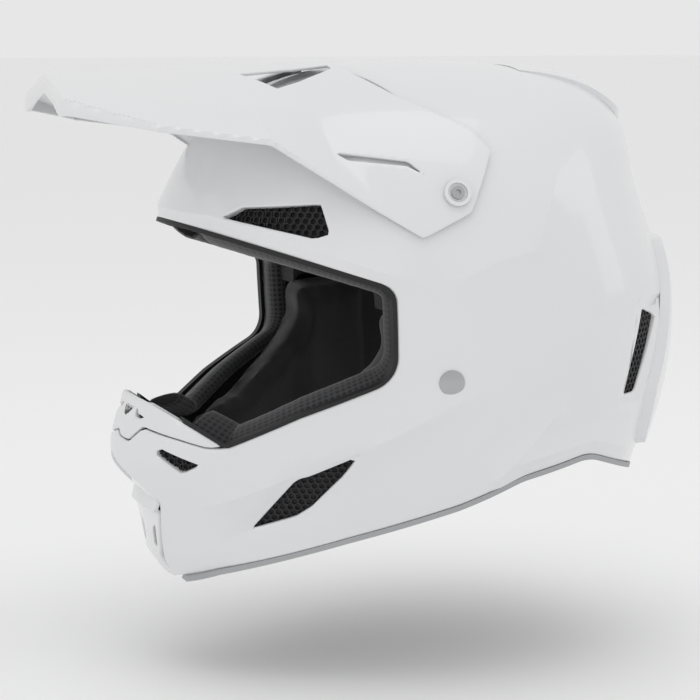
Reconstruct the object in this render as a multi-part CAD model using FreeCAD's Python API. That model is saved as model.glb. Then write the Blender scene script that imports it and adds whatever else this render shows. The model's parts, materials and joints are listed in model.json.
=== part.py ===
import FreeCAD, Part
import math
import os

# Motocross helmet, size M, in millimetres.
# +Z up, -Y towards the front of the helmet, +X towards the wearer's left.
# z = 0 is the wearer's ear level, x = y = 0 the middle of the head.

V = FreeCAD.Vector
os.makedirs("parts", exist_ok=True)

# ---------------------------------------------------------------- driving dimensions
CROWN_Z = 175.0            # top of the outer shell
SHELL_WALL = 4.2
FOAM_GAP = 0.5             # between the shell and what lies against it
HEAD_HALF_WIDTH = 78.0     # room for a 58 cm head
HEAD_HALF_LENGTH = 98.0
HEAD_TOP = 133.0
HEAD_DOME_Z = 35.0         # height where the straight sides of the head room end
CROWN_PAD = 8.0
RUBBER = 2.2               # thickness of the edge beads
PEAK_WALL = 2.2
PEAK_GAP = 0.9             # between the shell and the peak
PIVOT_Y = -40.0            # the peak's two side screws share one axis along X
PIVOT_Z = 107.0
SLEEVE_RADIUS = 5.0        # the peak turns on this
TILT_DOWN = 2.5            # the peak's travel, degrees
TILT_UP = 4.0
STRAP_Y = -44.0            # middle of the chin strap
STRAP_WIDTH = 22.0
STRAP_THICK = 2.0
RIVET_Z = 7.0
RING_RADIUS = 14.0         # D-ring: centre line of the bow
RING_WIRE = 1.8
RING_FIT = 0.06
RING_BARS_X = (-36.5, -31.0)
RING_BAR_Z = -61.5
SIDES = (("left", 1), ("right", -1))
RING_POINTS = 36           # points of each level ring of the shell

# Level rows of the outer shell, from the chin's underside to the crown:
# height, half width, front y, back y, y of the widest point, front power, back power.
SHELL_ROWS = [
    (-116.0, 100.0, -168.0, 96.0, -20.0, 1.62, 2.30),
    (-95.0, 104.0, -180.0, 100.0, -18.0, 1.55, 2.30),
    (-66.0, 110.0, -191.0, 104.0, -15.0, 1.50, 2.25),
    (-38.0, 115.0, -199.0, 114.0, -12.0, 1.55, 2.20),
    (-8.0, 119.0, -192.0, 124.0, -10.0, 1.70, 2.15),
    (25.0, 121.5, -184.0, 129.0, -8.0, 1.85, 2.10),
    (58.0, 121.0, -176.0, 127.0, -8.0, 2.00, 2.05),
    (88.0, 116.5, -166.0, 116.0, -10.0, 2.10, 2.05),
    (114.0, 107.5, -156.5, 108.0, -12.0, 2.15, 2.10),
    (137.0, 92.5, -142.0, 104.0, -15.0, 2.15, 2.20),
    (155.0, 72.5, -120.0, 91.0, -18.0, 2.10, 2.20),
    (167.0, 49.5, -90.0, 66.0, -22.0, 2.05, 2.10),
    (173.4, 25.0, -58.0, 20.0, -26.0, 2.00, 2.00),
    (CROWN_Z, 0.0, -28.0, -28.0, -28.0, 2.00, 2.00),
]

# Side outlines: (y, z) or (y, z, corner radius).
EYE_PORT = [(-235, 112), (-74, 58, 11), (-72, 9, 18), (-118, -12), (-152, -31, 3),
            (-184.5, -9, 3), (-235, -9)]
RIM = [(-183, -97), (-169, -110.5, 2), (-150, -101), (-90, -79.5, 60), (-35, -61.5, 60),
       (0, -47, 40), (43, -38, 30), (96, -56), (170, -80)]
# Front outlines: (x, z).
NOSE_SEAM = [(0, -27), (15, -31.5), (24, -23), (43, -28), (54, -31.5), (60, -31)]
BEAK_FACE = [(0, -40), (24, -64.5), (13, -100), (13, -125)]


# ---------------------------------------------------------------- the shell's surface
def row_at(step):
    """Smooth row at a real index, through the rows, closed over the crown."""
    last = len(SHELL_ROWS) - 1
    i = min(max(int(step), 0), last - 1)
    t = step - i
    one, two = SHELL_ROWS[i], SHELL_ROWS[i + 1]
    if i > 0:
        zero = SHELL_ROWS[i - 1]
    else:
        zero = [2 * a - b for a, b in zip(one, two)]
    if i + 2 <= last:
        three = SHELL_ROWS[i + 2]
    else:
        z, width, front, back, middle, front_power, back_power = SHELL_ROWS[last - 1]
        three = (z, -width, back, front, middle, front_power, back_power)
    return [0.5 * (2 * b + (c - a) * t + (2 * a - 5 * b + 4 * c - d) * t * t
                   + (3 * b - a - 3 * c + d) * t ** 3)
            for a, b, c, d in zip(zero, one, two, three)]


def inset_line(column, outward, depth):
    """(z, value) points of one upright line of the shell, moved in by depth."""
    last = len(SHELL_ROWS) - 1
    line = []
    for k in range(last * 10 + 1):
        step = k / 10
        here = row_at(step)
        before = row_at(max(step - 0.02, 0))
        after = row_at(min(step + 0.02, last - 0.001)) if step < last else here
        rise = after[0] - before[0]
        run = (after[column] - before[column]) * outward
        length = math.hypot(rise, run)
        line.append((here[0] + depth * run / length, here[column] - outward * depth * rise / length))
    return line


def value_at(line, z):
    for (z0, v0), (z1, v1) in zip(line, line[1:]):
        if z <= z1:
            break
    return v0 + (v1 - v0) * (z - z0) / (z1 - z0)


def ring_point(row, angle):
    """Point of a level ring; 0 is the front, 90 the left side, 180 the back."""
    z, width, front, back, middle, front_power, back_power = row
    c, s = math.cos(math.radians(angle)), math.sin(math.radians(angle))
    power, end = (front_power, front) if c >= 0 else (back_power, back)
    x = math.copysign(width * abs(s) ** (2 / power), s)
    return V(x, middle + (end - middle) * abs(c) ** (2 / power), z)


def closed_curve(points):
    """Closed smooth curve; even parameters keep the loft through such curves light."""
    curve = Part.BSplineCurve()
    evenly = [k / len(points) for k in range(len(points) + 1)]
    curve.interpolate(Points=points, PeriodicFlag=True, Parameters=evenly)
    return Part.Wire([curve.toShape()])


def make_shell_body(depth):
    """Solid inside the shell's outer face moved in by depth (out, if negative)."""
    widths = inset_line(1, 1, depth)
    fronts = inset_line(2, -1, depth)
    backs = inset_line(3, 1, depth)
    shape_lines = [inset_line(column, 1, 0) for column in (4, 5, 6)]
    straight_top = 88.0
    top = CROWN_Z - depth
    wires = []
    for z in [row[0] for row in SHELL_ROWS[:-1]] + [CROWN_Z - 0.4]:
        level = z
        if z > straight_top:
            level = straight_top + (z - straight_top) * (top - straight_top) / (CROWN_Z - straight_top)
        row = [level] + [value_at(line, level) for line in (widths, fronts, backs)]
        row += [value_at(line, z) for line in shape_lines]
        wires.append(closed_curve([ring_point(row, 360 * k / RING_POINTS) for k in range(RING_POINTS)]))
    return Part.makeLoft(wires, True, False)


def root(gap, low, high):
    """Where a rising gap(value) passes zero."""
    for _ in range(50):
        middle = (low + high) / 2
        if gap(middle) < 0:
            low = middle
        else:
            high = middle
    return low


def side_seat(y, z):
    """Point and outward normal of the shell's left side, seen at (y, z) from the side."""
    step = root(lambda value: row_at(value)[0] - z, 0, len(SHELL_ROWS) - 1)
    row = row_at(step)
    angle = root(lambda value: ring_point(row, value).y - y, 0, 180)
    along = ring_point(row, angle + 0.5) - ring_point(row, angle - 0.5)
    up = ring_point(row_at(step + 0.02), angle) - ring_point(row_at(step - 0.02), angle)
    return ring_point(row, angle), along.cross(up).normalize()


BODIES = {}


def shell_body(depth):
    if depth not in BODIES:
        BODIES[depth] = make_shell_body(depth)
    return BODIES[depth]


def layer(outer_depth, inner_depth):
    """What lies between two depths below the shell's outer face."""
    return shell_body(outer_depth).cut(shell_body(inner_depth))


# ---------------------------------------------------------------- outlines and cutters
def rounded_wire(corners, place):
    """Closed wire through (u, v[, radius]) corners, put into space by place(u, v)."""
    edges = []
    ends = []
    count = len(corners)
    for k in range(count):
        here = V(corners[k][0], corners[k][1], 0)
        before = V(corners[k - 1][0], corners[k - 1][1], 0)
        after = V(corners[(k + 1) % count][0], corners[(k + 1) % count][1], 0)
        radius = corners[k][2] if len(corners[k]) > 2 else 0
        back, ahead = (before - here).normalize(), (after - here).normalize()
        turn = back.getAngle(ahead)
        if radius == 0 or abs(turn - math.pi) < 1e-4:
            ends.append((here, here))
            continue
        reach = radius / math.tan(turn / 2)
        middle = (back + ahead).normalize() * (radius / math.sin(turn / 2) - radius)
        start, end = here + back * reach, here + ahead * reach
        arc = Part.Arc(place(start.x, start.y), place(here.x + middle.x, here.y + middle.y),
                       place(end.x, end.y))
        edges.append(arc.toShape())
        ends.append((start, end))
    for k in range(count):
        a, b = ends[k - 1][1], ends[k][0]
        if (a - b).Length > 1e-6:
            edges.append(Part.LineSegment(place(a.x, a.y), place(b.x, b.y)).toShape())
    return Part.Wire(Part.__sortEdges__(edges))


def side_prism(corners, x0=-150, x1=150, grow=0.0):
    face = Part.Face(rounded_wire(corners, lambda y, z: V(x0, y, z)))
    if grow:
        face = face.makeOffset2D(grow)
    return face.extrude(V(x1 - x0, 0, 0))


def front_prism(corners, y0, y1):
    face = Part.Face(rounded_wire(corners, lambda x, z: V(x, y0, z)))
    return face.extrude(V(0, y1 - y0, 0))


def top_prism(corners, z0, z1):
    face = Part.Face(rounded_wire(corners, lambda x, y: V(x, y, z0)))
    return face.extrude(V(0, 0, z1 - z0))


def both_sides(corners):
    """Full front or top outline from its right half, listed from the middle outwards."""
    return [(-c[0],) + tuple(c[1:]) for c in reversed(corners) if c[0] > 0] + list(corners)


def moved_outline(corners, dy, dz):
    return [(c[0] + dy, c[1] + dz) + tuple(c[2:]) for c in corners]


def grown_port(amount):
    """Eye port outline grown by an amount all round; the front stays open."""
    return [(-235, 112 + amount), (-74 + amount, 58 + amount, 11 + amount),
            (-72 + amount, 9 - amount * 0.4, 18 + amount), (-118, -12 - amount * 1.1),
            (-152 + amount * 0.1, -31 - amount * 1.1, 3),
            (-184.5 - amount, -9 - amount, 3), (-235, -9 - amount)]


def below_rim(lift):
    """Everything below the lower rim, with the rim lifted by an amount."""
    points = moved_outline(RIM, 0, lift)
    return side_prism([(-260, -160), (-260, -97 + lift)] + points + [(170, -160)])


def x_rod(radius, x0, x1, y, z):
    return Part.makeCylinder(radius, x1 - x0, V(x0, y, z), V(1, 0, 0))


def rod_on(seat, radius, start, end):
    """Round rod along a seat's normal, from start to end above the seat's point."""
    point, normal = seat
    return Part.makeCylinder(radius, end - start, point + normal * start, normal)


def mirrored(shape):
    return shape.mirror(V(0, 0, 0), V(1, 0, 0))


def on_side(shape, sign):
    return shape if sign > 0 else mirrored(shape)


def head_room(grow):
    """Room for the head and neck: half an ellipsoid on a straight oval."""
    scale = FreeCAD.Matrix()
    scale.scale(HEAD_HALF_WIDTH + grow, HEAD_HALF_LENGTH + grow, HEAD_TOP - HEAD_DOME_Z + grow)
    dome = Part.makeSphere(1, V(0, 0, 0), V(0, 0, 1), 0, 90, 360).transformGeometry(scale)
    dome.translate(V(0, 0, HEAD_DOME_Z))
    scale = FreeCAD.Matrix()
    scale.scale(HEAD_HALF_WIDTH + grow, HEAD_HALF_LENGTH + grow, HEAD_DOME_Z + 130)
    straight = Part.makeCylinder(1, 1).transformGeometry(scale)
    straight.translate(V(0, 0, -130))
    return dome.fuse(straight).removeSplitter()


# ---------------------------------------------------------------- openings in the shell
def side_vents():
    """Cutters of the vents on the left side, by name."""
    brow = [(-149, 92.5), (-141, 98.5), (-108, 101.5), (-105, 86), (-112, 83.5)]
    chin_side = [(-137, -76.5), (-118, -47), (-112, -45), (-89, -33), (-96, -45), (-110, -63),
                 (-117, -68.5)]
    chin_small = [(31.5, -37), (33.5, -33.5), (49.5, -41.5), (41, -47)]
    top = [(16, -110), (31, -112), (38, -78), (66, -61), (68, -55), (50, -62), (26, -70.5), (17, -72)]
    rear = [(85, 38), (99, 33), (81, -9), (70, -9)]
    return {
        "brow": side_prism(brow, 40, 130),
        "chin_side": side_prism(chin_side, 40, 130),
        "chin_small": front_prism(chin_small, -230, -120),
        "top": top_prism(top, 120, 190),
        "rear": side_prism(rear, 50, 130),
    }


VENTS = side_vents()
RIVET_SEAT = side_seat(STRAP_Y, RIVET_Z)
PEAK_SEAT = side_seat(PIVOT_Y, PIVOT_Z)
WASHER_LIFT = PEAK_GAP + PEAK_WALL + 0.4


def nose_region():
    """The slice of the chin bar's top that the mouthpiece takes, above its seam."""
    outline = both_sides(NOSE_SEAM) + [(60, 20), (-60, 20)]
    return front_prism(outline, -230, -140)


def front_lean():
    """What the chin's front leaves off above the beak, where it leans back."""
    return side_prism([(-201.5, -38.5), (-184.5, -8), (-184.5, 10), (-260, 10), (-260, -38.5)])


def make_outer_shell():
    shell = layer(0, SHELL_WALL)
    shell = shell.cut(side_prism(EYE_PORT)).cut(below_rim(0)).cut(front_lean())
    shell = shell.cut(nose_region())
    shell = shell.cut(front_prism(both_sides(BEAK_FACE), -230, -150))
    for cutter in VENTS.values():
        shell = shell.cut(cutter).cut(mirrored(cutter))
    for _, sign in SIDES:
        hole = x_rod(SLEEVE_RADIUS, 90, 130, PIVOT_Y, PIVOT_Z)
        cap_room = rod_on(RIVET_SEAT, 7.0, -0.6, 10)
        rivet_hole = rod_on(RIVET_SEAT, 2.5, -20, 5)
        for cutter in (hole, cap_room, rivet_hole):
            shell = shell.cut(on_side(cutter, sign))
    return shell


def make_mouthpiece():
    piece = layer(0, SHELL_WALL).common(nose_region())
    return piece.cut(side_prism(EYE_PORT)).cut(front_lean())


def make_chin_front_cover():
    """Moulded plate below the beak: a slanting hood, a fold and an upright face."""
    inset = 0.3
    outline = both_sides([(0, -40.5), (24 - inset, -64.5 - inset), (13 - inset, -100), (13 - inset, -112)])
    profile = [(-197, -41), (-181, -64), (-183, -71), (-180, -73), (-177, -98), (-168, -110.5),
               (-165.5, -107.5), (-174, -96.5), (-177, -71), (-177.5, -62), (-191, -41)]
    cover = side_prism(profile, -30, 30).common(front_prism(outline, -230, -150))
    slot = front_prism([(-12.5, -93), (-13.5, -80), (-9, -83), (-8, -92)], -200, -165)
    return cover.cut(slot).cut(mirrored(slot))


def make_vent_mesh(name):
    depths = {"brow": (2.4, 3.6), "chin_side": (2.4, 3.6), "chin_small": (2.4, 3.6),
              "top": (0.8, 2.4), "rear": (2.4, 3.6)}
    return layer(*depths[name]).common(VENTS[name])


def make_rear_spoiler():
    """Raised ridge that leaves the crown and stands proud at the top of the back."""
    raised = shell_body(0).copy()
    raised.rotate(V(0, 28, 172), V(1, 0, 0), 3.4)
    outline = [(-30, 34), (30, 34), (39, 96, 6), (-39, 96, 6)]
    ridge = raised.common(top_prism(outline, 120, 200))
    return ridge.cut(shell_body(0))


def make_rear_vent_cover():
    outline = both_sides([(0, 74), (60, 74, 12), (74, 40, 30), (84, -8, 10), (76, -42, 8), (0, -42)])
    cover = shell_body(-5).common(front_prism(outline, 50, 160))
    return cover.cut(shell_body(0))


# ---------------------------------------------------------------- rubber and liners
def make_eyeport_trim():
    bead = layer(-0.6, SHELL_WALL + 0.4).common(side_prism(EYE_PORT)).cut(side_prism(grown_port(-RUBBER)))
    return bead.cut(side_prism([(-260, -60), (-171, -60), (-171, 10), (-260, 10)]))


def make_bottom_trim():
    band = below_rim(0).cut(below_rim(-3.0))
    back_of_chin = side_prism([(-164, -160), (-164, 0), (170, 0), (170, -160)])
    return layer(-0.6, SHELL_WALL + 0.6).common(band).common(back_of_chin)


FOAM_DEPTH = SHELL_WALL + FOAM_GAP


def rivet_room():
    """Space that the strap, its anchor and its rivet take out of the foam."""
    return Part.makeBox(14, STRAP_WIDTH + 4, 92, V(100, STRAP_Y - STRAP_WIDTH / 2 - 2, -70))


# The cheek cushion from the side, (y, z, radius), and the room for the face from above, (x, y, radius).
CHEEK_SIDE = [(-148, -34, 8), (-112, -15, 20), (-88, 6), (-70, 24, 20), (-67, 47, 8), (8, 47, 30),
              (46, -6, 20), (46, -26), (0, -36, 40), (-40, -50, 60), (-100, -66, 40), (-138, -76, 10)]
FACE_PLAN = [(0, -190), (16, -190), (30, -146, 60), (61, -70, 60), (66, -20, 60), (70, 60), (0, 60)]
CHEEK_DEPTH = 22.6         # from the shell's outer face to the back of the cheek cushion


def make_eps_crown():
    outline = [(-230, 230), (-230, 96), (-69, 62, 12), (-66, 14), (30, 2), (60, -22), (150, -30), (150, 230)]
    foam = shell_body(FOAM_DEPTH).cut(head_room(CROWN_PAD + 0.4))
    foam = foam.common(side_prism(outline)).cut(side_prism(grown_port(4.3)))
    cheek_room = shell_body(CHEEK_DEPTH - 0.5).common(side_prism(CHEEK_SIDE, 10, 130, grow=0.5))
    foam = foam.cut(cheek_room).cut(mirrored(cheek_room))
    for _, sign in SIDES:
        foam = foam.cut(on_side(rivet_room(), sign))
        foam = foam.cut(on_side(x_rod(8, 60, 130, PIVOT_Y, PIVOT_Z), sign))
    return foam


def make_eps_chin():
    region = side_prism([(-230, 40), (-230, -104), (-90, -72), (-76, -68), (-76, 40)])
    foam = layer(FOAM_DEPTH, 20).common(region).cut(side_prism(grown_port(4.3)))
    foam = foam.cut(front_lean()).cut(front_prism(both_sides(BEAK_FACE), -230, -171))
    return foam.cut(below_rim(6))


# Press studs between the cheek block and its cushion: their places (y, z), radius and depth.
CHEEK_STUDS = [(-60, -34), (0, -22)]
STUD_RADIUS = 5.5
STUD_BACK = 21.2


def make_cheek_base():
    """Foam block that the cheek cushion snaps onto, behind the chin bar."""
    region = side_prism([(-75.4, 8), (-66, 12), (30, 1.2), (46, -12), (46, -27), (0, -38), (-40, -52),
                         (-75.4, -62)], 60, 130)
    block = layer(FOAM_DEPTH, CHEEK_DEPTH - 0.6).common(region).cut(rivet_room()).cut(strap_room())
    for y, z in CHEEK_STUDS:
        block = block.cut(x_rod(STUD_RADIUS, 80, 140, y, z).common(shell_body(STUD_BACK)))
    return block.cut(side_prism(grown_port(4.3)))


def make_cheek_pad():
    pad = shell_body(CHEEK_DEPTH).common(side_prism(CHEEK_SIDE, 15, 130))
    pad = pad.cut(top_prism(both_sides(FACE_PLAN), -130, 100)).cut(strap_room())
    return pad.cut(head_room(0))


def make_crown_pad():
    """Seven cushions with narrow sewn lines between them: three on top, four round the sides."""
    outline = [(-120, 84), (-66, 68, 8), (-62, 51, 6), (20, 51, 20), (52, 10, 20), (120, 0), (120, 160), (-120, 160)]
    pad = head_room(CROWN_PAD).cut(head_room(0)).common(side_prism(outline))
    line = 1.2
    level, back, beside = 72, 40, 26
    pad = pad.cut(Part.makeBox(300, 300, line, V(-150, -150, level)))
    for x in (-beside, beside):
        pad = pad.cut(Part.makeBox(line, 300, 200, V(x - line / 2, -150, level)))
    pad = pad.cut(Part.makeBox(300, line, 200, V(-150, back, level - 200)))
    return pad.cut(Part.makeBox(line, 200, 200, V(-line / 2, 0, level - 200)))


def make_neck_roll():
    region = side_prism([(50, -17), (60, -24.5), (140, -32), (140, -60), (96, -54), (56, -40), (50, -30)])
    return shell_body(FOAM_DEPTH).cut(head_room(1)).common(region)


def make_rim_fabric():
    """Ribbed fabric over the liner's edge, all round the eye port."""
    ring = layer(FOAM_DEPTH, 20).cut(side_prism(grown_port(0.6))).common(side_prism(grown_port(4.0)))
    half = Part.makeBox(150, 400, 400, V(0.2, -260, -160))
    rear = side_prism([(-178, -60), (-178, 150), (-40, 150), (-40, -60)])
    return ring.common(half).common(rear)


# ---------------------------------------------------------------- chin strap
STRAP_LINE = [(108.0, 19), (107.2, 0), (102.4, -30), (98.4, -50), (86, -57.5), (62, -60.5)]
STRAP_PAD_LINE = [(92, -48.6), (84, -52.9), (66, -55.3)]
STRAP_PAD_WIDTH, STRAP_PAD_THICK = 30, 4.5


def ribbon(line, thickness, width, y):
    """Flat strap whose middle line (x, z) is given, extruded along Y."""
    upper, lower = [], []
    for k, (x, z) in enumerate(line):
        x0, z0 = line[max(k - 1, 0)]
        x1, z1 = line[min(k + 1, len(line) - 1)]
        length = math.hypot(x1 - x0, z1 - z0)
        dx, dz = -(z1 - z0) / length * thickness / 2, (x1 - x0) / length * thickness / 2
        upper.append((x + dx, z + dz))
        lower.append((x - dx, z - dz))
    return front_prism(upper + lower[::-1], y - width / 2, y + width / 2)


def strap_room():
    """Space round the strap and its cushion that the foam and the cheek cushion leave free."""
    strap = ribbon(STRAP_LINE, STRAP_THICK + 1.2, STRAP_WIDTH + 2, STRAP_Y)
    longer = [(94, -47.5)] + STRAP_PAD_LINE + [(64, -55.5)]
    return strap.fuse(ribbon(longer, STRAP_PAD_THICK + 1.2, STRAP_PAD_WIDTH + 1.2, STRAP_Y))


def make_chin_strap_left():
    strap = ribbon(STRAP_LINE + [(30, -61.5), (4, -62.5)], STRAP_THICK, STRAP_WIDTH, STRAP_Y)
    stud_hole = Part.makeCylinder(2.0, 12, V(12, STRAP_Y, -68))
    return strap.cut(rod_on(RIVET_SEAT, 2.5, -20, 5)).cut(stud_hole)


def make_chin_strap_right():
    """Short strap; its folded end holds the bars of both D-rings."""
    strap = ribbon(STRAP_LINE + [(36, -61.5)], STRAP_THICK, STRAP_WIDTH, STRAP_Y)
    strap = mirrored(strap)
    x0, x1 = RING_BARS_X[0] - 4.2, RING_BARS_X[1] + 4.2
    height = 7.0
    fold = front_prism([(x0, RING_BAR_Z - height / 2, 3), (x1, RING_BAR_Z - height / 2, 3),
                        (x1, RING_BAR_Z + height / 2, 3), (x0, RING_BAR_Z + height / 2, 3)],
                       STRAP_Y - STRAP_WIDTH / 2, STRAP_Y + STRAP_WIDTH / 2)
    strap = strap.fuse(fold)
    for x in RING_BARS_X:
        bar_hole = Part.makeCylinder(RING_WIRE + RING_FIT, 40, V(x, STRAP_Y - 20, RING_BAR_Z), V(0, 1, 0))
        strap = strap.cut(bar_hole)
    return strap.cut(mirrored(rod_on(RIVET_SEAT, 2.5, -20, 5))).removeSplitter()


def make_d_ring(x):
    """Half ring with a straight bar; it hangs down from the strap's fold."""
    bow = Part.makeTorus(RING_RADIUS, RING_WIRE, V(x, STRAP_Y, RING_BAR_Z), V(1, 0, 0), -180, 180, 360)
    keep = Part.makeBox(20, 60, 30, V(x - 10, STRAP_Y - 30, RING_BAR_Z - 30))
    bar = Part.makeCylinder(RING_WIRE, 2 * RING_RADIUS, V(x, STRAP_Y - RING_RADIUS, RING_BAR_Z), V(0, 1, 0))
    ring = bow.common(keep).fuse(bar)
    for end in (-1, 1):
        ring = ring.fuse(Part.makeSphere(RING_WIRE, V(x, STRAP_Y + end * RING_RADIUS, RING_BAR_Z)))
    return ring.removeSplitter()


def make_strap_anchor():
    plate = Part.makeBox(1.4, 18, 24, V(103.6, STRAP_Y - 9, RIVET_Z - 10))
    return plate.cut(rod_on(RIVET_SEAT, 2.5, -20, 5))


def make_strap_rivet():
    """Shank through shell, strap and anchor plate, with a low domed cap outside."""
    point, normal = RIVET_SEAT
    shank = rod_on(RIVET_SEAT, 2.5, -13.6, -0.6)
    ball_radius = 24.0
    ball = Part.makeSphere(ball_radius, point + normal * (2.0 - ball_radius))
    cap = rod_on(RIVET_SEAT, 6.9, -0.6, 3).common(ball)
    return shank.fuse(cap).removeSplitter()


def make_strap_pad():
    """Simple cushion on the face side of the strap, where it passes the jaw."""
    return ribbon(STRAP_PAD_LINE, STRAP_PAD_THICK, STRAP_PAD_WIDTH, STRAP_Y)


def make_strap_snap():
    """Press stud through the long strap's end."""
    stem = Part.makeCylinder(2.0, 4.8, V(12, STRAP_Y, -64.8))
    head = Part.makeCylinder(6.0, 1.2, V(12, STRAP_Y, -60.8))
    foot = Part.makeCylinder(5.0, 1.3, V(12, STRAP_Y, -64.9))
    return stem.fuse(head).fuse(foot).removeSplitter()


def make_cheek_snaps():
    """Press studs, flush in each cheek block's inner face, that hold the cushions."""
    discs = []
    studs = layer(STUD_BACK, CHEEK_DEPTH - 0.1)
    for y, z in CHEEK_STUDS:
        for _, sign in SIDES:
            discs.append(on_side(x_rod(STUD_RADIUS, 80, 140, y, z), sign).common(studs))
    return Part.makeCompound(discs)


# ---------------------------------------------------------------- peak
# Stations of the peak's hood: y, top z, half width, edge z, power of the arch.
PEAK_STATIONS = [
    (-234.0, 169.0, 42.0, 156.5, 1.35),
    (-195.5, 171.0, 87.0, 144.0, 1.35),
    (-137.7, 173.9, 97.0, 136.0, 1.40),
    (-100.0, 175.3, 104.3, 111.0, 1.76),
    (-60.0, 176.6, 111.5, 84.0, 2.80),
    (-25.0, 172.0, 98.0, 84.0, 2.80),
]
# The peak seen from the side, from the front lip round the wing.
PEAK_OUTLINE = [(-250, 146.5), (-231, 147.5), (-195.5, 140.5), (-137.7, 133.0, 6), (-60, 84, 2), (-33, 97, 2),
                (-16, 129, 3), (-24, 141, 20), (-57, 157), (-72, 169), (-76, 190), (-250, 190)]


def hood(inset):
    """Solid under the hood's outer face, moved in by inset."""
    floor_z = 60
    wires = []
    for k, (y, top, half_width, edge, power) in enumerate(PEAK_STATIONS):
        top, half_width, edge = top - inset, half_width - inset, edge - inset * 0.6
        if k == 0:
            y += inset
        arch = []
        for step in range(-8, 9):
            part = step / 8
            arch.append(V(part * half_width, y, top - (top - edge) * abs(part) ** power))
        curve = Part.BSplineCurve()
        curve.interpolate(Points=arch, Parameters=[step / 16 for step in range(17)])
        right, left = arch[-1], arch[0]
        low_right, low_left = V(right.x, y, floor_z), V(left.x, y, floor_z)
        sides = [Part.LineSegment(right, low_right), Part.LineSegment(low_right, low_left),
                 Part.LineSegment(low_left, left)]
        wires.append(Part.Wire([curve.toShape()] + [side.toShape() for side in sides]))
    return Part.makeLoft(wires, True, True)


def tilted(shape, degrees):
    """Shape turned about the peak's pivot; positive lifts the front."""
    turned = shape.copy()
    turned.rotate(V(0, PIVOT_Y, PIVOT_Z), V(1, 0, 0), -degrees)
    return turned


def make_peak():
    outer = hood(0).fuse(shell_body(-PEAK_GAP - PEAK_WALL))
    peak = outer.common(side_prism(PEAK_OUTLINE, -120, 120))
    inner = hood(PEAK_WALL)
    peak = peak.cut(inner).cut(shell_body(-PEAK_GAP))
    hole = x_rod(SLEEVE_RADIUS + RING_FIT, 90, 130, PIVOT_Y, PIVOT_Z)
    peak = peak.cut(hole).cut(mirrored(hole))
    slit = side_prism([(-98, 128), (-93, 124.5), (-64, 121.5), (-56, 117), (-63, 123.5)], 60, 130)
    window = top_prism([(25, -131), (44, -116), (37, -100), (33, -86), (30, -80), (24, -80), (23, -104)], 140, 190)
    for cutter in (slit, window):
        peak = peak.cut(cutter).cut(mirrored(cutter))
    clearance = shell_body(-0.4)
    for degrees in (-TILT_UP, TILT_DOWN):
        peak = peak.cut(tilted(clearance, degrees))
    return peak


def washer_seat():
    """Where the pivot's axis leaves the peak, with the shell's normal."""
    point, normal = PEAK_SEAT
    return point + V(WASHER_LIFT / normal.x, 0, 0), normal


def make_peak_insert():
    """Threaded sleeve through the shell; the peak turns on its outer end."""
    sleeve = x_rod(SLEEVE_RADIUS, 100.7, 125, PIVOT_Y, PIVOT_Z)
    flange = x_rod(7.5, 99.2, 100.7, PIVOT_Y, PIVOT_Z)
    sleeve = sleeve.cut(rod_on(washer_seat(), 30, 0, 30)).fuse(flange)
    return sleeve.cut(rod_on(washer_seat(), 2.0, -6.5, 5)).removeSplitter()


def make_peak_washer():
    """Cup washer that keeps the peak on its sleeve."""
    washer = rod_on(washer_seat(), 7.2, 0, 2.0)
    cup = rod_on(washer_seat(), 5.4, 0.8, 3)
    return washer.cut(cup).cut(rod_on(washer_seat(), 2.0, -1, 3))


def make_peak_screw():
    head = rod_on(washer_seat(), 3.6, 0.8, 2.4)
    shank = rod_on(washer_seat(), 2.0, -6.5, 0.8)
    socket = rod_on(washer_seat(), 1.5, 1.4, 4)
    return head.fuse(shank).cut(socket).removeSplitter()


# ---------------------------------------------------------------- write every node
def save(name, shape):
    solids = shape.Solids
    if len(solids) == 1:
        shape = solids[0]
    elif len(solids) > 1:
        shape = Part.makeCompound(solids)
    print(name, "solids", len(solids), "valid", shape.isValid(), "volume", round(shape.Volume / 1000, 2), "cm3")
    shape.exportStep("parts/" + name + ".step")


def save_pair(name, left):
    save(name + "_left", left)
    save(name + "_right", mirrored(left))


save("outer_shell", make_outer_shell())
save("mouthpiece", make_mouthpiece())
save("chin_front_cover", make_chin_front_cover())
save("rear_spoiler", make_rear_spoiler())
save("rear_vent_cover", make_rear_vent_cover())
save("eyeport_trim", make_eyeport_trim())
save("bottom_trim", make_bottom_trim())
save("eps_crown", make_eps_crown())
save("eps_chin", make_eps_chin())
save("crown_pad", make_crown_pad())
save("neck_roll", make_neck_roll())
save("chin_strap_left", make_chin_strap_left())
save("chin_strap_right", make_chin_strap_right())
save("strap_snap", make_strap_snap())
save("cheek_snaps", make_cheek_snaps())
save("peak", make_peak())
for ring_name, ring_x in zip(("d_ring_outer", "d_ring_inner"), RING_BARS_X):
    save(ring_name, make_d_ring(ring_x))
for name, make in (
        ("cheek_base", make_cheek_base), ("cheek_pad", make_cheek_pad), ("rim_fabric", make_rim_fabric),
        ("strap_anchor", make_strap_anchor), ("strap_rivet", make_strap_rivet),
        ("strap_pad", make_strap_pad), ("peak_insert", make_peak_insert),
        ("peak_washer", make_peak_washer), ("peak_screw", make_peak_screw)):
    save_pair(name, make())
for vent in VENTS:
    save_pair(vent + "_mesh", make_vent_mesh(vent))
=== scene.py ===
import json
import math

import bpy
import numpy as np
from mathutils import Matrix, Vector
from mathutils.bvhtree import BVHTree

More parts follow.
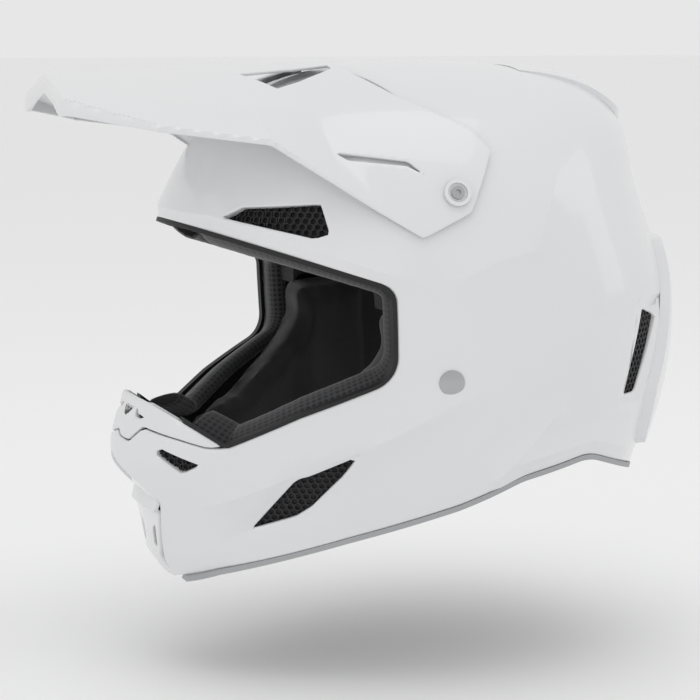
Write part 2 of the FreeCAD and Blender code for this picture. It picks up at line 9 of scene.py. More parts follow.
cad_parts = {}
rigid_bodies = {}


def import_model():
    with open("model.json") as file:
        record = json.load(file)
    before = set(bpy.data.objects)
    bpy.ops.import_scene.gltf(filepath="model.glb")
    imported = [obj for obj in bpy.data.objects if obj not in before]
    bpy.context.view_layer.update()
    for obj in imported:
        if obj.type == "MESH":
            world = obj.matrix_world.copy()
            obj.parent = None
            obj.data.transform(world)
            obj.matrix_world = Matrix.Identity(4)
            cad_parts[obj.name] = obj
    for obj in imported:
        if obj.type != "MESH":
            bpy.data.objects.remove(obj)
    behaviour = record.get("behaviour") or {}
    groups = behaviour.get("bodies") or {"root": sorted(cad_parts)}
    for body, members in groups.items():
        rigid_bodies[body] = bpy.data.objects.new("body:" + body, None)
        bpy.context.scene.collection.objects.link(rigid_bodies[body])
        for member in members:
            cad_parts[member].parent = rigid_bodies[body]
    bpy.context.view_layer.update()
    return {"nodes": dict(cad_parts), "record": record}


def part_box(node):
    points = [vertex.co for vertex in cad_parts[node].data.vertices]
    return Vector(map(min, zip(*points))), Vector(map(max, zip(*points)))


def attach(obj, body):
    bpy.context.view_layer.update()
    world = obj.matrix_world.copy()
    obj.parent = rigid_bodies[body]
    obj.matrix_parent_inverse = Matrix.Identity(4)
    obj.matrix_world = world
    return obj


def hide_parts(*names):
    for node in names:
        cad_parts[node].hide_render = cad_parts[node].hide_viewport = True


# Motocross helmet. Lengths in the outlines are millimetres; a mesh is scaled to metres when it is made.
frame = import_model()

# ---------------------------------------------------------------- stage, light and camera
# A pale floor in a white room, three soft lights, and a long lens at eye height,
# a little in front of the helmet's left side.
scene = bpy.context.scene


def srgb(code):
    """Linear colour of an sRGB hex value."""
    parts = [int(code[k:k + 2], 16) / 255 for k in (1, 3, 5)]
    return [c / 12.92 if c <= 0.04045 else ((c + 0.055) / 1.055) ** 2.4 for c in parts] + [1.0]


def add_node(tree, kind, inputs=None, **settings):
    """Adds a node; inputs are values or sockets to link from, settings are its own properties."""
    made = tree.nodes.new(kind)
    for key, value in settings.items():
        setattr(made, key, value)
    for key, value in (inputs or {}).items():
        if isinstance(value, bpy.types.NodeSocket):
            tree.links.new(value, made.inputs[key])
        else:
            made.inputs[key].default_value = value
    return made


def new_material(name, colour, roughness, **shader):
    """Material with a Principled shader; shader holds more of its sockets by name."""
    material = bpy.data.materials.new(name)
    material.use_nodes = True
    bsdf = material.node_tree.nodes["Principled BSDF"]
    bsdf.inputs["Base Color"].default_value = srgb(colour)
    bsdf.inputs["Roughness"].default_value = roughness
    for key, value in shader.items():
        bsdf.inputs[key.replace("_", " ")].default_value = value
    return material, material.node_tree, bsdf


def add_bump(tree, bsdf, height, strength, distance):
    """Fine relief from a height socket; distance is in metres."""
    bump = add_node(tree, "ShaderNodeBump", {"Height": height, "Strength": strength, "Distance": distance})
    tree.links.new(bump.outputs["Normal"], bsdf.inputs["Normal"])
    return bump.outputs["Normal"]


def add_ramp(tree, factor, dark, light, start=0.0, end=1.0):
    """Colour that runs from dark to light as the factor goes from start to end."""
    ramp = add_node(tree, "ShaderNodeValToRGB", {"Fac": factor})
    for stop, place, colour in zip(ramp.color_ramp.elements, (start, end), (dark, light)):
        stop.position, stop.color = place, srgb(colour)
    return ramp.outputs["Color"]


floor_paper, _, _ = new_material("matt_studio_paper", "#FAFAFA", 0.9)
FLOOR_Z = -0.165
bpy.ops.mesh.primitive_plane_add(size=60, location=(0, 0, FLOOR_Z))
floor = bpy.context.object
floor.name = "floor"
floor.data.materials.append(floor_paper)

world = bpy.data.worlds.new("white_room")
world.use_nodes = True
world.node_tree.nodes["Background"].inputs["Color"].default_value = srgb("#FFFFFF")
world.node_tree.nodes["Background"].inputs["Strength"].default_value = 0.8
scene.world = world
scene.view_settings.view_transform = "Standard"


def soft_light(name, place, size, power):
    """Area light that looks at the middle of the helmet."""
    lamp = bpy.data.lights.new(name, "AREA")
    lamp.shape = "RECTANGLE"
    lamp.size, lamp.size_y = size
    lamp.energy = power
    lamp_object = bpy.data.objects.new(name, lamp)
    lamp_object.location = place
    lamp_object.rotation_euler = (-Vector(place)).to_track_quat("-Z", "Y").to_euler()
    scene.collection.objects.link(lamp_object)


soft_light("top_softbox", (0.5, -0.1, 1.8), (1.6, 1.2), 5)
soft_light("front_softbox", (0.7, -1.7, 0.5), (0.7, 1.3), 2)
soft_light("rear_strip", (0.5, 1.7, 0.6), (0.5, 1.2), 1)

VIEW_AZIMUTH, VIEW_ELEVATION = math.radians(69), math.radians(8)
VIEW_DISTANCE = 1.3
VIEW_TARGET = Vector((0, -0.057, 0.010))
eye = Vector((math.sin(VIEW_AZIMUTH) * math.cos(VIEW_ELEVATION),
              -math.cos(VIEW_AZIMUTH) * math.cos(VIEW_ELEVATION), math.sin(VIEW_ELEVATION)))
camera = bpy.data.objects.new("camera", bpy.data.cameras.new("camera"))
camera.data.lens = 116.3
camera.location = VIEW_TARGET + eye * VIEW_DISTANCE
camera.rotation_euler = (-eye).to_track_quat("-Z", "Y").to_euler()
scene.collection.objects.link(camera)
scene.camera = camera

# ---------------------------------------------------------------- outer shell
# One deep moulding of thermoplastic, sprayed white and lacquered. Its openings are
# milled, and all its edges are rolled. Creases and a brow band stiffen the sides.
ROOT = frame["record"]["behaviour"]["joints"][0]["parent"]
SHELL_WALL = 4.2
EDGE = 0.9                 # radius of the roll round every opening and rim
# Level outlines: height, half width, front y, back y, y of the widest point, front and back power.
SHELL_ROWS = np.array([
    (-116.0, 100.0, -168.0, 96.0, -20.0, 1.62, 2.30),
    (-95.0, 104.0, -180.0, 100.0, -18.0, 1.55, 2.30),
    (-66.0, 110.0, -191.0, 104.0, -15.0, 1.50, 2.25),
    (-38.0, 115.0, -199.0, 114.0, -12.0, 1.55, 2.20),
    (-8.0, 119.0, -192.0, 124.0, -10.0, 1.70, 2.15),
    (25.0, 121.5, -184.0, 129.0, -8.0, 1.85, 2.10),
    (58.0, 121.0, -176.0, 127.0, -8.0, 2.00, 2.05),
    (88.0, 116.5, -166.0, 116.0, -10.0, 2.10, 2.05),
    (114.0, 107.5, -156.5, 108.0, -12.0, 2.15, 2.10),
    (137.0, 92.5, -142.0, 104.0, -15.0, 2.15, 2.20),
    (155.0, 72.5, -120.0, 91.0, -18.0, 2.10, 2.20),
    (167.0, 49.5, -90.0, 66.0, -22.0, 2.05, 2.10),
    (173.4, 25.0, -58.0, 20.0, -26.0, 2.00, 2.00),
    (175.0, 0.0, -28.0, -28.0, -28.0, 2.00, 2.00),
])
# Side outlines: (y, z) or (y, z, corner radius).
EYE_PORT = [(-260, 120), (-74, 58, 11), (-72, 9, 18), (-118, -12), (-152, -31, 3), (-184.5, -9, 3),
            (-260, -9)]
RIM = [(-260, -97), (-183, -97), (-169, -110.5, 2), (-150, -101), (-90, -79.5, 60), (-35, -61.5, 60),
       (0, -47, 40), (43, -38, 30), (96, -56), (170, -80), (170, 300), (-260, 300)]
SIDE_VENTS = {
    "brow": [(-149, 92.5), (-141, 98.5), (-108, 101.5), (-105, 86), (-112, 83.5)],
    "chin_side": [(-137, -76.5), (-118, -47), (-112, -45), (-89, -33), (-96, -45), (-110, -63),
                  (-117, -68.5)],
    "rear": [(85, 38), (99, 33), (81, -9), (70, -9)],
}
CHIN_VENT = [(31.5, -37), (33.5, -33.5), (49.5, -41.5), (41, -47)]
TOP_VENT = [(16, -110), (31, -112), (38, -78), (66, -61), (68, -55), (50, -62), (26, -70.5), (17, -72)]
NOSE = [(-5, -27), (0, -27), (15, -31.5), (24, -23), (43, -28), (54, -31.5), (60, -31), (60, 30), (-5, 30)]
CHIN_NOTCH = [(-5, -40), (0, -40), (24, -64.5), (13, -100), (13, -125), (-5, -125)]
MOUTH_SLIT = [(12, -15.6), (22.5, -19.2), (23.5, -17.6), (13, -13.8)]
SEAM = 0.35                # half of the open line between two mouldings
# Creases from the side: their line, the height they stand up, and the reach above and below.
CREASES = [
    ([(-167, -69), (-148, -60), (-122, -46), (-96, -34), (-69, -20), (-42, -5), (-12, 12)], 2.4, 22, 16),
    ([(-21, -53), (-3, -35), (11, -20), (27, -5)], 1.8, 14, 14),
    ([(-53, 57), (-19, 71), (3, 76), (11, 94), (29, 127)], 2.2, 22, 20),
    ([(-12, -41), (12, -36), (43, -30), (96, -46)], 2.0, 14, 9),
    ([(-190, 96), (-164, 94), (-153, 93), (-136, 87), (-119, 81), (-100, 73), (-77, 65), (-50, 57)],
     2.6, 26, 8.5),
]


def spline_rows(rows, count):
    """Even steps of a smooth curve through rows, straight at both ends; count steps between two rows."""
    last = len(rows) + 1
    system = np.zeros((last + 1, last + 1))
    given = np.zeros((last + 1, rows.shape[1]))
    for k in range(len(rows)):
        system[k + 1, k:k + 3] = (1 / 6, 4 / 6, 1 / 6)
        given[k + 1] = rows[k]
    system[0, :3] = (1, -2, 1)
    system[last, last - 2:] = (1, -2, 1)
    control = np.linalg.solve(system, given)
    steps = np.arange((len(rows) - 1) * count + 1) / count
    first = np.minimum(steps.astype(int), len(rows) - 2)
    return blend_four(steps - first, [control[first + k] for k in range(4)])


def blend_four(t, four):
    """Point of a smooth curve between four neighbouring control points."""
    t = t.reshape((-1,) + (1,) * (four[0].ndim - 1))
    weights = ((1 - t) ** 3, 3 * t ** 3 - 6 * t ** 2 + 4, -3 * t ** 3 + 3 * t ** 2 + 3 * t + 1, t ** 3)
    return sum(weight * point for weight, point in zip(weights, four)) / 6


def level_ring(row, around):
    """Points of one level ring, smooth through 36 points of its two half ovals."""
    z, width, front, back, middle, front_power, back_power = row
    turn = np.arange(36) * math.pi / 18
    c, s = np.cos(turn), np.sin(turn)
    power = np.where(c >= 0, front_power, back_power)
    x = width * np.sign(s) * np.abs(s) ** (2 / power)
    y = middle + (np.where(c >= 0, front, back) - middle) * np.abs(c) ** (2 / power)
    ring = np.stack([x, y], 1)
    smoothing = (4 + 2 * np.cos(2 * math.pi * np.arange(19) / 36)) / 6
    control = np.fft.irfft(np.fft.rfft(ring, axis=0) / smoothing[:, None], 36, axis=0)
    at = np.arange(around) * 36 / around
    first = at.astype(int)
    ring = blend_four(at - first, [control[(first + k - 1) % 36] for k in range(4)])
    return np.column_stack([ring, np.full(around, z)])


def unit(vectors):
    return vectors / np.maximum(np.linalg.norm(vectors, axis=-1, keepdims=True), 1e-9)


def shell_skin(around=252, between=10):
    """The whole egg of the shell: rows of x, y, z and outward normal, and its faces."""
    over = SHELL_ROWS[-2::-1] * [1, -1, 1, 1, 1, 1, 1]
    over = over[:, [0, 1, 3, 2, 4, 6, 5]]
    rows = spline_rows(np.vstack([SHELL_ROWS, over]), between)[:(len(SHELL_ROWS) - 1) * between]
    grid = np.array([level_ring(row, around) for row in rows])
    along = np.roll(grid, -1, 1) - np.roll(grid, 1, 1)
    normal = unit(np.cross(along, np.gradient(grid, axis=0)))
    data = np.concatenate([grid, normal], 2).reshape(-1, 6)
    pole = len(data)
    data = np.vstack([data, [0, -28, 175, 0, 0, 1]])
    faces = []
    for i in range(len(rows) - 1):
        for j in range(around):
            a, b = i * around + j, i * around + (j + 1) % around
            faces.append((a, b, b + around, a + around))
    top = (len(rows) - 1) * around
    faces += [(top + j, top + (j + 1) % around, pole) for j in range(around)]
    return data, faces


def rounded(corners, steps=7):
    """Outline through (u, v[, radius]) corners, its rounded corners as short chords."""
    outline = []
    for k, corner in enumerate(corners):
        here = np.array(corner[:2], float)
        back = unit(np.array(corners[k - 1][:2]) - here)
        ahead = unit(np.array(corners[(k + 1) % len(corners)][:2]) - here)
        radius = corner[2] if len(corner) > 2 else 0
        turn = math.acos(np.clip(back @ ahead, -1, 1))
        if radius == 0 or turn > 3.1:
            outline.append(here)
            continue
        centre = here + unit(back + ahead) * radius / math.sin(turn / 2)
        start, end = here + back * radius / math.tan(turn / 2), here + ahead * radius / math.tan(turn / 2)
        for t in np.linspace(0, 1, steps):
            outline.append(centre + radius * unit((start - centre) * (1 - t) + (end - centre) * t))
    return np.array(outline)


def line_gap(at, line, closed=False):
    """Distance of points from a line, positive on its left, and how far along it they are."""
    line = np.array(line, float)
    ends = np.roll(line, -1, 0) if closed else line[1:]
    starts = line if closed else line[:-1]
    lengths = np.linalg.norm(ends - starts, axis=1)
    best = np.full(len(at), 1e9)
    side = np.zeros(len(at))
    along = np.zeros(len(at))
    for start, end, length, before in zip(starts, ends, lengths, np.cumsum(lengths) - lengths):
        way = (end - start) / length
        t = np.clip((at - start) @ way, 0, length)
        away = at - start - t[:, None] * way
        distance = np.linalg.norm(away, axis=1)
        nearer = distance < best
        best[nearer] = distance[nearer]
        along[nearer] = (before + t[nearer]) / lengths.sum()
        side[nearer] = (way[0] * away[:, 1] - way[1] * away[:, 0])[nearer]
    return best * np.where(side >= 0, 1, -1), along


def inside(at, corners):
    """Distance of points from a closed outline, positive inside it."""
    outline = rounded(corners)
    gap, _ = line_gap(at, outline, closed=True)
    within = np.zeros(len(at), bool)
    for a, b in zip(outline, np.roll(outline, -1, 0)):
        if a[1] != b[1]:
            crosses = (a[1] > at[:, 1]) != (b[1] > at[:, 1])
            within ^= crosses & (at[:, 0] < (b[0] - a[0]) * (at[:, 1] - a[1]) / (b[1] - a[1]) + a[0])
    return np.where(within, 1, -1) * np.abs(gap)


def side_view(data):
    return data[:, 1:3]


def front_view(data):
    return np.column_stack([np.abs(data[:, 0]), data[:, 2]])


def top_view(data):
    return np.column_stack([np.abs(data[:, 0]), data[:, 1]])


def cut_along(data, faces, gap, both=False):
    """Cuts the faces along gap = 0 and keeps what has gap > 0, or all of it if both is true."""
    gap = np.where(np.abs(gap) < 0.02, 0, gap)
    rows = list(data)
    crossings = {}

    def crossing(a, b):
        key = (min(a, b), max(a, b))
        if key not in crossings:
            t = gap[key[0]] / (gap[key[0]] - gap[key[1]])
            crossings[key] = len(rows)
            rows.append(data[key[0]] * (1 - t) + data[key[1]] * t)
        return crossings[key]

    kept = []
    for face in faces:
        values = [gap[k] for k in face]
        if min(values) >= 0:
            kept.append(face)
            continue
        if max(values) <= 0:
            if both:
                kept.append(face)
            continue
        for sign in ((1, -1) if both else (1,)):
            part = []
            for k, corner in enumerate(face):
                following = face[(k + 1) % len(face)]
                here, ahead = sign * gap[corner], sign * gap[following]
                if here >= 0:
                    part.append(corner)
                if here * ahead < 0:
                    part.append(crossing(corner, following))
            if len(part) > 2:
                kept.append(tuple(part))
    return np.array(rows), kept


def used_only(data, faces):
    """Drops the points that no face uses."""
    used = sorted({k for face in faces for k in face})
    order = {k: n for n, k in enumerate(used)}
    return data[used], [tuple(order[k] for k in face) for face in faces]


def mesh_object(name, points, faces, material, sharp=32):
    """Mesh piece from millimetre points, smooth except across sharp edges."""
    mesh = bpy.data.meshes.new(name)
    mesh.from_pydata((np.asarray(points) * 0.001).tolist(), [], [list(face) for face in faces])
    mesh.validate()
    mesh.materials.append(material)
    mesh.shade_smooth()
    mesh.set_sharp_from_angle(angle=math.radians(sharp))
    piece = bpy.data.objects.new(name, mesh)
    scene.collection.objects.link(piece)
    return piece


def plate(name, data, faces, wall, material, relief=0.0, edge=EDGE, sharp=32):
    """Closed plate: an outer skin, an inner skin a wall further in, and a rolled edge."""
    data, faces = used_only(np.column_stack([data, np.broadcast_to(relief, len(data))]), faces)
    points, normals, relief = data[:, :3], unit(data[:, 3:6]), data[:, 6:7]
    count = len(points)
    directed = {(face[k - 1], face[k]) for face in faces for k in range(len(face))}
    border = [(a, b) for a, b in directed if (b, a) not in directed]
    border.sort()
    outward = np.zeros((count, 3))
    for a, b in border:
        away = unit(np.cross(points[b] - points[a], normals[a]))
        outward[a] += away
        outward[b] += away
    outward = unit(outward)
    outer = points + normals * relief
    rings = [outer]
    for reach, depth in ((0.7, 0.3), (1, 1)):
        rings.append(outer + outward * edge * reach - normals * edge * depth)
    for reach, depth in ((1, 1), (0.7, 0.3)):
        rings.append(points + outward * edge * reach - normals * (wall - edge * depth))
    inner = points - normals * wall
    edge_points = sorted({k for pair in border for k in pair})
    order = {k: n for n, k in enumerate(edge_points)}
    stack = [outer, inner] + [ring[edge_points] for ring in rings[1:]]
    base = 2 * count
    made = list(faces) + [tuple(count + k for k in reversed(face)) for face in faces]
    layers = [lambda k: k] + [lambda k, n=n: base + n * len(edge_points) + order[k] for n in range(4)]
    layers.append(lambda k: count + k)
    for upper, lower in zip(layers, layers[1:]):
        made += [(upper(b), upper(a), lower(a), lower(b)) for a, b in border]
    return mesh_object(name, np.vstack(stack), made, material, sharp)


def smooth_step(t):
    t = np.clip(t, 0, 1)
    return t * t * (3 - 2 * t)


def shell_relief(data):
    """How far the shell's skin stands out of its plain form: creases, band and dishes."""
    at = side_view(data)
    rise = np.zeros(len(data))
    for line, height, reach_up, reach_down in CREASES:
        gap, along = line_gap(at, line)
        reach = np.where(gap > 0, reach_up, reach_down)
        fade = smooth_step(along / 0.12) * smooth_step((1 - along) / 0.25)
        rise += height * np.clip(1 - np.abs(gap) / reach, 0, 1) ** 1.35 * fade
    dish = smooth_step((inside(at, [(-147, -84), (-120, -40), (-84, -28), (-104, -66)]) + 3) / 8)
    rear_dish = smooth_step((inside(at, [(78, 43), (104, 43), (84, -14), (66, -14)]) + 2) / 6)
    return rise - 1.6 * dish - 2.4 * rear_dish


# Sprayed and lacquered ABS: clean white with a hard clear gloss, and the faint
# orange peel that spraying leaves.
white_lacquer, tree, bsdf = new_material(
    "lacquered_abs_white", "#E2E3E5", 0.28, Coat_Weight=0.7, Coat_Roughness=0.04, IOR=1.5)
place = add_node(tree, "ShaderNodeTexCoord").outputs["Object"]
peel = add_node(tree, "ShaderNodeTexNoise", {"Vector": place, "Scale": 260.0, "Detail": 1.0})
tree.links.new(add_bump(tree, bsdf, peel.outputs["Fac"], 0.03, 0.0004), bsdf.inputs["Coat Normal"])
drift = add_node(tree, "ShaderNodeTexNoise", {"Vector": place, "Scale": 9.0})
tint = add_ramp(tree, drift.outputs["Fac"], "#DFE0E2", "#E5E5E6")
tree.links.new(tint, bsdf.inputs["Base Color"])


def front_field(data, outline):
    """Distance inside an outline seen from the front, for the points of the front only."""
    return np.where(data[:, 1] < -120, inside(front_view(data), outline), -30)


def lean_back(data):
    """Above the beak the chin's front is a flat that leans back: points in front of it go onto it."""
    y, z = data[:, 1], data[:, 2]
    flat = np.interp(z, [-60, -38.5, -8, 10], [-214, -201.5, -184.5, -184.5])
    leaned = np.where((z > -60) & (y < flat), flat, y)
    moved = leaned > y + 0.01
    result = data.copy()
    result[:, 1] = leaned
    result[moved, 3:6] = unit(result[moved, 3:6] * 0.3 + np.array([0, -0.87, 0.48]) * 0.7)
    return result


egg, egg_faces = shell_skin()
data, faces = lean_back(egg), egg_faces
for crease in CREASES:
    gap, _ = line_gap(side_view(data), crease[0])
    gap = np.where(np.abs(gap) < 20, gap, 20)
    data, faces = cut_along(data, faces, gap, both=True)
data, faces = cut_along(data, faces, -inside(side_view(data), EYE_PORT) - EDGE)
data, faces = cut_along(data, faces, inside(side_view(data), RIM) - EDGE)
bar_data, bar_faces = data, faces
data, faces = cut_along(data, faces, -front_field(data, NOSE) - SEAM - EDGE)
data, faces = cut_along(data, faces, -front_field(data, CHIN_NOTCH) - SEAM - EDGE)
for outline in SIDE_VENTS.values():
    data, faces = cut_along(data, faces, -inside(side_view(data), outline) - EDGE)
data, faces = cut_along(data, faces, -front_field(data, CHIN_VENT) - EDGE)
top = inside(top_view(data), TOP_VENT)
data, faces = cut_along(data, faces, np.where(data[:, 2] > 110, -top, 30) - EDGE)
outer_shell = plate("shell_skin", data, faces, SHELL_WALL, white_lacquer, shell_relief(data), sharp=13)
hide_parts("outer_shell")
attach(outer_shell, ROOT)

# ---------------------------------------------------------------- mouthpiece
# Separate moulding that closes the top of the chin bar, clipped into the shell.
data, faces = cut_along(bar_data, bar_faces, front_field(bar_data, NOSE) - SEAM - EDGE)
data, faces = cut_along(data, faces, -front_field(data, MOUTH_SLIT) - EDGE)
mouthpiece = plate("mouthpiece_skin", data, faces, SHELL_WALL, white_lacquer, shell_relief(data))
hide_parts("mouthpiece")
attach(mouthpiece, ROOT)

# ---------------------------------------------------------------- chin cover
# Moulded plate let into the chin's notch under the beak: a slanting hood, a fold and
# an upright face with two open slits. It clips in from the front.
# Its side profile as (z, y), and its half width as (z, x).
COVER_PROFILE = np.array([(-40.6, -196.6), (-64, -181), (-70.5, -183), (-73, -180), (-98, -177),
                          (-110, -168.4)])
COVER_HALF_WIDTH = [(-112, 12.7), (-100, 12.7), (-64.8, 23.6), (-40.6, 0.4)]
COVER_SLIT = [(8, -92), (9, -83), (13.5, -80), (12.5, -93)]
COVER_WALL, COVER_BOW = 2.6, 1.2
COVER_COLUMNS, COVER_ROWS = 33, 12
levels = [np.linspace(low, high, COVER_ROWS) for low, high in zip(COVER_PROFILE[1:, 0], COVER_PROFILE[:, 0])]
heights = np.unique(np.concatenate(levels))
across = np.linspace(-1, 1, COVER_COLUMNS)
ahead = np.interp(heights, COVER_PROFILE[::-1, 0], COVER_PROFILE[::-1, 1])
half = np.interp(heights, *np.transpose(COVER_HALF_WIDTH))
grid = np.stack([half[:, None] * across, ahead[:, None] + COVER_BOW * across ** 2,
                 heights[:, None] + across * 0], 2)
normal = unit(np.cross(np.gradient(grid, axis=1), np.gradient(grid, axis=0)))
data = np.concatenate([grid, normal], 2).reshape(-1, 6)
corners = (0, 1, COVER_COLUMNS + 1, COVER_COLUMNS)
faces = [tuple(i * COVER_COLUMNS + j + corner for corner in corners)
         for i in range(len(heights) - 1) for j in range(COVER_COLUMNS - 1)]
data, faces = cut_along(data, faces, -front_field(data, COVER_SLIT) - 0.5)
cover = plate("chin_cover_skin", data, faces, COVER_WALL, white_lacquer, edge=0.5, sharp=24)
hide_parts("chin_front_cover")
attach(cover, ROOT)

# ---------------------------------------------------------------- peak
# Thin moulded visor: a faceted hood in front that runs into two wings, which lie
# close over the shell. It turns on a screw at each side and clears the shell all along.
PEAK_WALL, PEAK_GAP = 1.8, 1.3
AXIS_Z = 60                # cross-sections are measured outwards from x = 0, z = AXIS_Z
LIP = 10                   # depth of the turned-down front lip
# y, top z, half width, edge z and power of the arch.
PEAK_STATIONS = np.array([
    (-234.0, 169.0, 42.0, 156.5, 1.35),
    (-195.5, 171.0, 87.0, 144.0, 1.35),
    (-137.7, 173.9, 97.0, 136.0, 1.40),
    (-100.0, 175.3, 104.3, 111.0, 1.76),
    (-60.0, 176.6, 111.5, 84.0, 2.80),
    (-25.0, 172.0, 98.0, 84.0, 2.80),
    (-10.0, 170.0, 92.0, 84.0, 2.80),
])
PEAK_OUTLINE = [(-250, 146.5), (-231, 147.5), (-195.5, 140.5), (-137.7, 133.0, 6), (-60, 84, 3), (-33, 97, 3),
                (-16, 129, 4), (-24, 141, 20), (-57, 157), (-72, 169), (-76, 190), (-250, 190)]
WING_SLIT = [(-98, 128), (-93, 124.5), (-64, 121.5), (-56, 117), (-63, 123.5)]
PEAK_WINDOW = [(25, -131), (44, -116), (37, -100), (33, -86), (30, -80), (24, -80), (23, -104)]
TOP_CREASE = [(34, -234), (49, -213), (69, -148), (60, -108), (52, -84)]

egg_tree = BVHTree.FromPolygons((egg[:, :3] + egg[:, 3:] * (PEAK_GAP + PEAK_WALL)).tolist(), egg_faces)


def hood_radius(y, turns):
    """How far the hood is from the axis line, for each turn from straight up, at one y."""
    k = int(np.clip(np.searchsorted(PEAK_STATIONS[:, 0], y) - 1, 0, len(PEAK_STATIONS) - 2))
    part = np.linspace(0, 1, 240)
    arches = []
    for _, top, half_width, edge_z, power in PEAK_STATIONS[k:k + 2]:
        arches.append(np.array([part * half_width, top - (top - edge_z) * part ** power]))
    t = (y - PEAK_STATIONS[k, 0]) / (PEAK_STATIONS[k + 1, 0] - PEAK_STATIONS[k, 0])
    x, z = arches[0] * (1 - t) + arches[1] * t
    arch_turn = np.arctan2(x, z - AXIS_Z)
    turned = np.abs(turns)
    radius = np.interp(turned, arch_turn, np.hypot(x, z - AXIS_Z))
    return np.where(turned > arch_turn[-1], x[-1] / np.maximum(np.sin(turned), 0.1), radius)


def shell_radius(y, turns):
    """The same for the shell's skin, lifted by the peak's gap and wall; 0 where there is no shell."""
    reach = np.zeros(len(turns))
    for k, turn in enumerate(turns):
        hit = egg_tree.ray_cast(Vector((0, y, AXIS_Z)), Vector((math.sin(turn), 0, math.cos(turn))))
        if hit[0] is not None and y > -172:
            reach[k] = hit[3]
    return reach


def peak_skin():
    """Rows of points across the peak, from the back of the lip over its front to the wings' ends."""
    turns = np.linspace(-math.radians(101), math.radians(101), 201)
    front = PEAK_STATIONS[0, 0]
    rows = [(front, -LIP), (front, -LIP * 0.6), (front, -2.2), (front + 0.35, -1.1), (front + 1.1, -0.35)]
    rows += [(y, 0) for y in np.arange(front + 2.2, -12, 2.0)]
    rows = sorted(rows + [(y, 0) for y in PEAK_STATIONS[1:-1, 0]], key=lambda row: row[0])
    blend_reach = 3.5
    grid = []
    for y, drop in rows:
        hood, shell = hood_radius(y, turns), shell_radius(y, turns)
        share = np.clip(0.5 + 0.5 * (hood - shell) / blend_reach, 0, 1)
        radius = shell * (1 - share) + hood * share + blend_reach * share * (1 - share) + drop
        grid.append(np.column_stack([radius * np.sin(turns), np.full(len(turns), y),
                                     AXIS_Z + radius * np.cos(turns)]))
    grid = np.array(grid)
    normal = unit(np.cross(np.gradient(grid, axis=1), np.gradient(grid, axis=0)))
    data = np.concatenate([grid, normal], 2).reshape(-1, 6)
    wide = len(turns)
    faces = []
    for i in range(len(grid) - 1):
        for j in range(wide - 1):
            a = i * wide + j
            faces.append((a, a + 1, a + 1 + wide, a + wide))
    return data, faces


data, faces = peak_skin()
gap, _ = line_gap(top_view(data), TOP_CREASE)
data, faces = cut_along(data, faces, np.where(data[:, 1] < -84, gap, 30), both=True)
data, faces = cut_along(data, faces, inside(side_view(data), PEAK_OUTLINE) - 0.6)
data, faces = cut_along(data, faces, -inside(side_view(data), WING_SLIT) - 0.6)
data, faces = cut_along(data, faces, -inside(top_view(data), PEAK_WINDOW) - 0.6)
gap, along = line_gap(top_view(data), TOP_CREASE)
ridge = np.clip(1 - np.abs(gap) / 13, 0, 1) ** 1.3
peak_relief = 0.7 * ridge * smooth_step((1 - along) / 0.3) * (data[:, 2] > 125)
peak = plate("peak_skin", data, faces, PEAK_WALL, white_lacquer, peak_relief, edge=0.6, sharp=24)
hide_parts("peak")
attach(peak, "peak")

# ---------------------------------------------------------------- vent meshes
# Black moulded honeycomb sheets, glued behind each vent so that only air gets in.
# Each sheet is hexagonal rings set side by side on the shell's curve.
# Moulded nylon: black, dull, with a faint grain that breaks up the light.
black_nylon, tree, bsdf = new_material("moulded_nylon_black", "#151516", 0.5)
place = add_node(tree, "ShaderNodeTexCoord").outputs["Object"]
grain = add_node(tree, "ShaderNodeTexNoise", {"Vector": place, "Scale": 1400.0})
add_bump(tree, bsdf, grain.outputs["Fac"], 0.15, 0.0002)

MESH_PITCH = 3.6
shell_tree = BVHTree.FromPolygons(egg[:, :3].tolist(), egg_faces)


def geometry_tree(name, **inputs):
    """Empty Geometry Nodes tree with a geometry in and out and named inputs: kind of socket by name."""
    tree = bpy.data.node_groups.new(name, "GeometryNodeTree")
    tree.interface.new_socket("Geometry", in_out="INPUT", socket_type="NodeSocketGeometry")
    for key, kind in inputs.items():
        tree.interface.new_socket(key, in_out="INPUT", socket_type="NodeSocket" + kind)
    tree.interface.new_socket("Geometry", in_out="OUTPUT", socket_type="NodeSocketGeometry")
    return tree, add_node(tree, "NodeGroupInput").outputs


def close_tree(tree, geometry, material):
    """Ends a tree with plain geometry and its material."""
    plain = add_node(tree, "GeometryNodeRealizeInstances", {"Geometry": geometry})
    finished = add_node(tree, "GeometryNodeSetMaterial", {"Geometry": plain.outputs[0], "Material": material})
    add_node(tree, "NodeGroupOutput", {"Geometry": finished.outputs[0]})


def grown(name, points, normals, tree, values):
    """Runs a tree on points in metres that carry normals, and keeps the result as a plain mesh."""
    mesh = bpy.data.meshes.new(name)
    mesh.from_pydata([list(point) for point in points], [], [])
    mesh.attributes.new("facing", "FLOAT_VECTOR", "POINT").data.foreach_set("vector", np.ravel(normals))
    piece = bpy.data.objects.new(name, mesh)
    scene.collection.objects.link(piece)
    modifier = piece.modifiers.new("grow", "NODES")
    modifier.node_group = tree
    for item in tree.interface.items_tree:
        if item.in_out == "INPUT" and item.name in values:
            modifier[item.identifier] = values[item.name]
    bpy.context.view_layer.update()
    result = bpy.data.meshes.new_from_object(piece.evaluated_get(bpy.context.evaluated_depsgraph_get()))
    piece.modifiers.clear()
    piece.data = result
    result.name = name
    return piece


